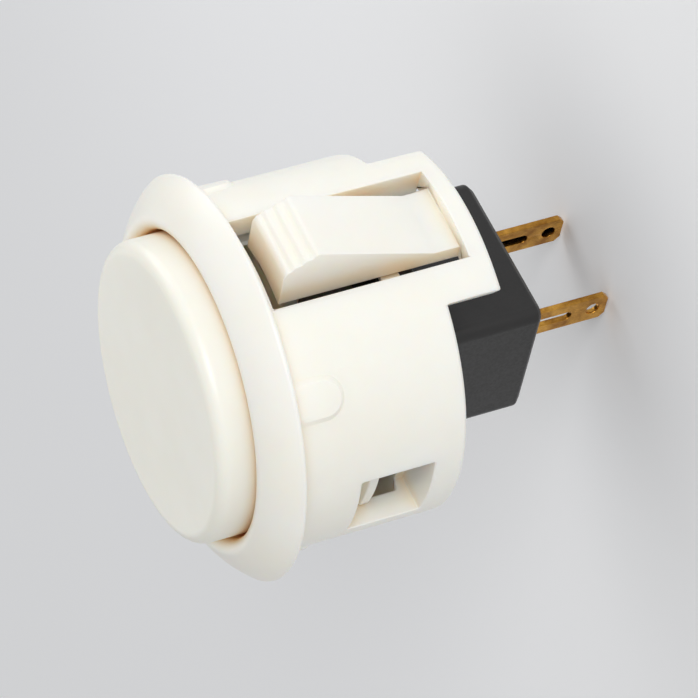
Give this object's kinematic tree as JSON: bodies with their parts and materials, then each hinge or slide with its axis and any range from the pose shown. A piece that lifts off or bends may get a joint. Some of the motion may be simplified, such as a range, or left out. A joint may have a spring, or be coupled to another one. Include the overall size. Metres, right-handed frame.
{
  "type": "arcade push button",
  "caption": "Round snap-in push button for an arcade control panel: domed rim, sliding plunger, stepped side latches and a built-in switch with tab terminals.",
  "frame": {"origin": "centre of the rim's underside, which is the front face of the panel that the button snaps into", "axes": "+Z along the button's axis, out of the panel; the two latches lie on +X and -X; the terminals stand side by side along Y"},
  "size_m": [0.0346, 0.0332, 0.0385],
  "materials": {
    "housing_abs": "moulded, semi-gloss warm white",
    "plunger_abs": "moulded, semi-gloss warm white",
    "switch_plastic": "moulded, satin black",
    "actuator_acetal": "moulded, satin white",
    "spring_steel": "drawn spring wire",
    "arm_bronze": "stamped phosphor bronze",
    "contact_silver": "headed silver alloy",
    "terminal_brass": "stamped brass, slightly dulled"
  },
  "bodies": {
    "housing": {"housing": "housing_abs", "switch_case": "switch_plastic", "switch_cover": "switch_plastic", "common_terminal": "terminal_brass", "output_terminal": "terminal_brass", "fixed_contact": "contact_silver", "return_spring": "spring_steel"},
    "plunger": {"plunger": "plunger_abs"},
    "actuator": {"switch_actuator": "actuator_acetal"},
    "contact_arm": {"contact_arm": "arm_bronze", "moving_contact": "contact_silver"}
  },
  "joints": [
    {"name": "plunger_press", "type": "slide", "parent": "housing", "child": "plunger", "axis": [0, 0, -1], "range_m": [0, 0.0022], "stiffness_N_per_m": 200, "springref_m": -0.001},
    {"name": "actuator_press", "type": "slide", "parent": "housing", "child": "actuator", "axis": [0, 0, -1], "range_m": [0, 0.0022], "deforming": ["return_spring"]},
    {"name": "contact_swing", "type": "hinge", "parent": "housing", "child": "contact_arm", "pos_m": [0, -0.00295, -0.0175], "axis": [-1, 0, 0], "range_deg": [0, 5.7], "stiffness_Nm_per_rad": 0.00002, "springref_deg": -11.46}
  ],
  "couplings": [
    {"joint": "actuator_press", "follows": "plunger_press", "ratio": 1},
    {"joint": "contact_swing", "follows": "plunger_press", "rad_per_m": 45.2}
  ]
}
